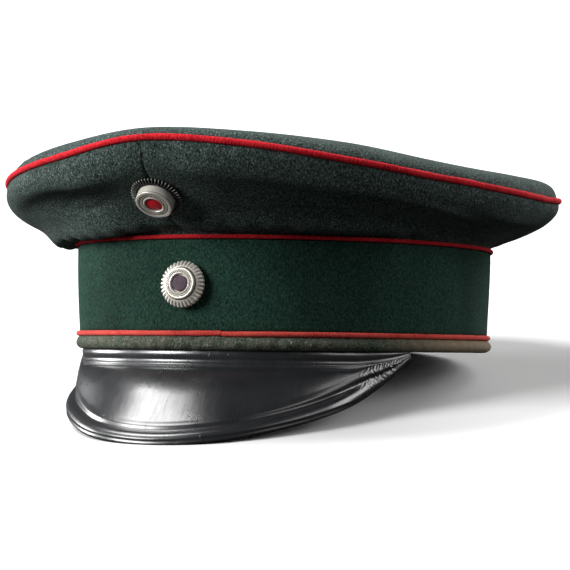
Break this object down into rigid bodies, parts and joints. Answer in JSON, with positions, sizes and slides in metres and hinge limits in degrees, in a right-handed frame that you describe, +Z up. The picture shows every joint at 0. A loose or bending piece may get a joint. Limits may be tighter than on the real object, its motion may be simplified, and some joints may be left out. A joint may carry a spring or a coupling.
{
  "type": "peaked cap",
  "caption": "Peaked cap with a wide oval crown, red piping, dark green band, black lacquered peak and two round cockades, resting on its peak rim and hem.",
  "frame": {"origin": "on the surface the cap rests on, under the middle of its box", "axes": "+Z up, front (peak) towards -Y, the wearer's left towards +X; the cap leans back as it rests on its peak's rim and the rear of its hem"},
  "size_m": [0.2306, 0.2814, 0.1154],
  "materials": {
    "crown_wool": "heathered blue-grey fulled wool, matt, fine nap",
    "band_cloth": "dark green fulled wool, matt",
    "hem_wool": "worn grey-green wool, rolled edge",
    "red_piping": "red wool cloth over cord",
    "faded_piping": "faded red wool cloth over cord",
    "peak_lacquer": "black lacquer over leather, glossy, finely cracked",
    "cockade_silver": "slightly yellowed nickel silver",
    "cockade_black": "black paint worn to bare metal on the ribs",
    "cockade_red": "red enamel, glossy",
    "cockade_purple": "faded enamel, dull purple"
  },
  "bodies": {
    "root": {"crown_top": "crown_wool", "crown_panel_front_left": "crown_wool", "crown_panel_rear_left": "crown_wool", "crown_panel_rear_right": "crown_wool", "crown_panel_front_right": "crown_wool", "crown_piping": "red_piping", "band": "band_cloth", "band_top_piping": "red_piping", "band_bottom_piping": "faded_piping", "hem": "hem_wool", "peak": "peak_lacquer", "upper_cockade_rim": "cockade_black", "upper_cockade_cup": "cockade_silver", "upper_cockade_centre": "cockade_red", "upper_cockade_pin": "cockade_silver", "lower_cockade_rim": "cockade_silver", "lower_cockade_cup": "cockade_silver", "lower_cockade_centre": "cockade_purple", "lower_cockade_pin": "cockade_silver"}
  },
  "joints": []
}
